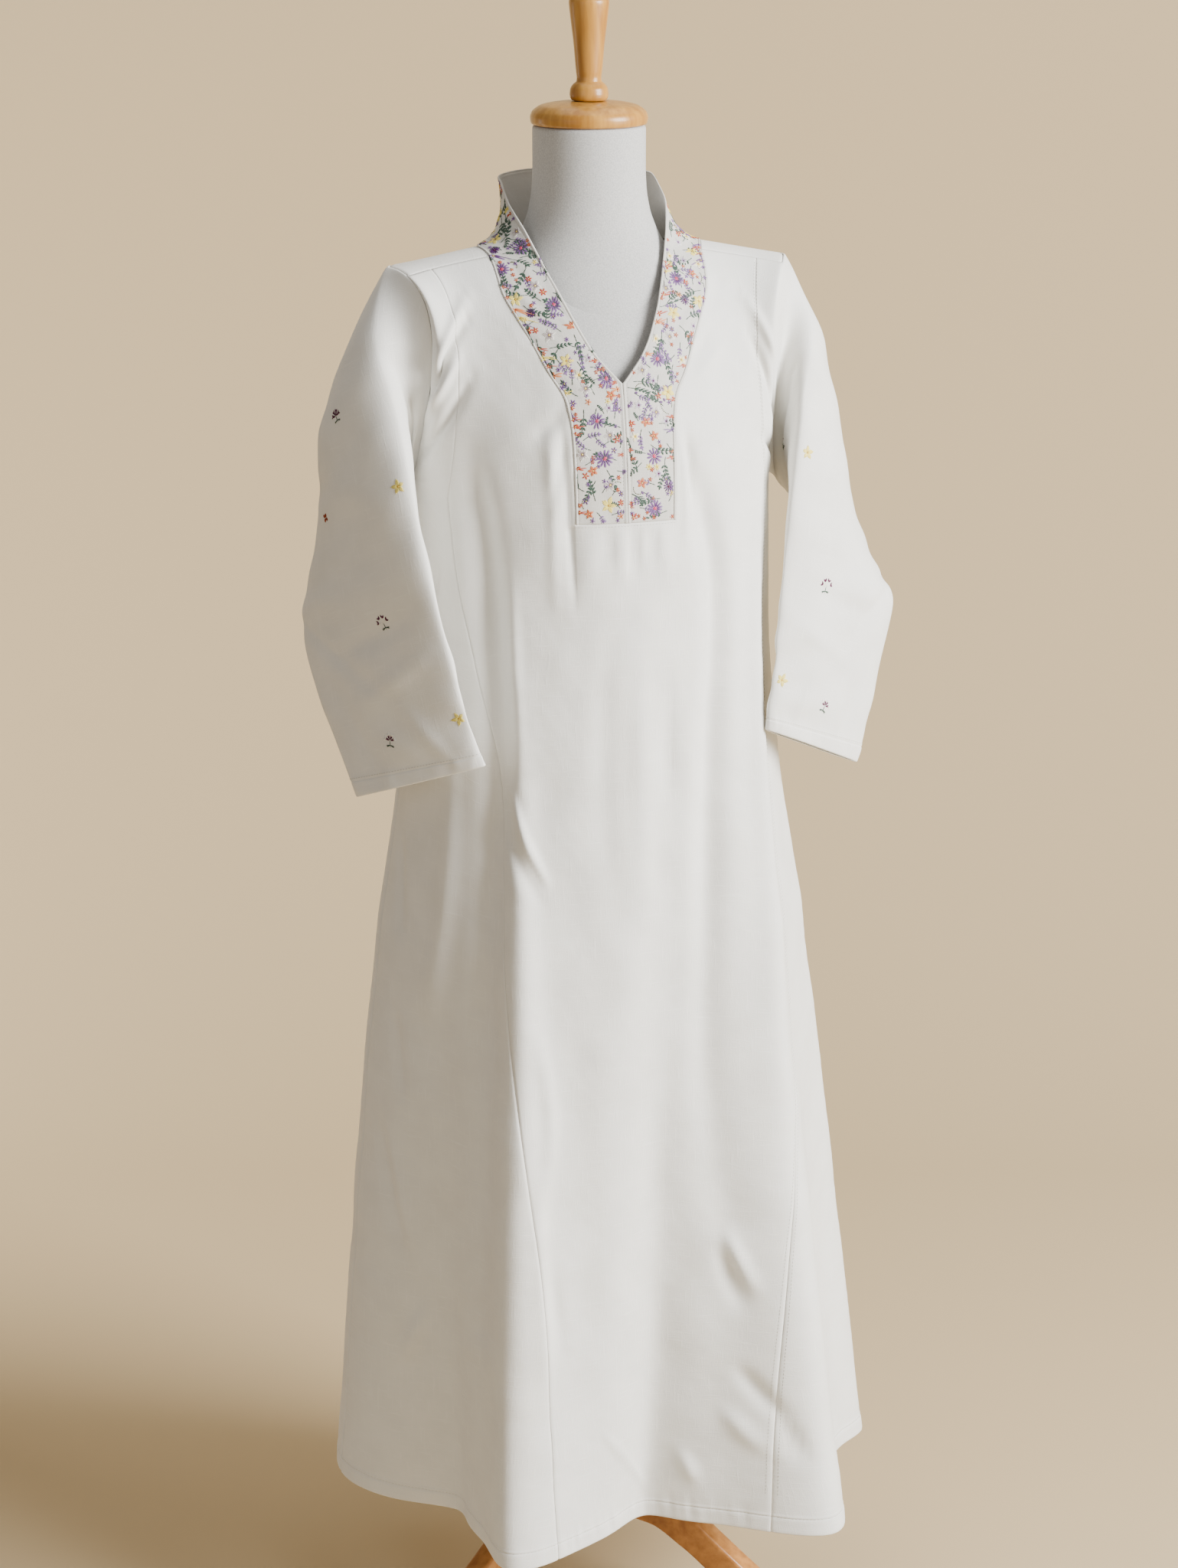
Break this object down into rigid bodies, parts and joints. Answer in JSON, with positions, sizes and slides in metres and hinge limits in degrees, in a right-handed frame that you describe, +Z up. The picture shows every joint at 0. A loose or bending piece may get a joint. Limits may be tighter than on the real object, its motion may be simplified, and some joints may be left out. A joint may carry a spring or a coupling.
{
  "type": "kurta tunic on dress form",
  "caption": "Long off-white kurta tunic with a V neck, embroidered band and placket and three-quarter sleeves, worn by a limbless dress form on a turned wooden tripod stand.",
  "frame": {"origin": "centre of the whole object's box on the floor that the feet rest on", "axes": "+Z up, the tunic faces -Y, its right sleeve is at -X"},
  "size_m": [0.5696, 0.5284, 1.63],
  "materials": {
    "linen": "off-white slubby linen and cotton",
    "neck_band": "the same cloth, faced and embroidered",
    "jersey": "light grey jersey",
    "honey_wood": "honey coloured, varnished",
    "dark_wood": "brown, varnished"
  },
  "bodies": {
    "root": {"front_centre": "linen", "front_side_right": "linen", "front_side_left": "linen", "back": "linen", "sleeve_right": "linen", "sleeve_left": "linen", "band_right": "neck_band", "band_left": "neck_band", "dress_form": "jersey", "neck_cap": "honey_wood", "finial": "honey_wood", "pole": "dark_wood", "hub": "dark_wood", "leg_1": "honey_wood", "leg_2": "honey_wood", "leg_3": "honey_wood"}
  },
  "joints": []
}
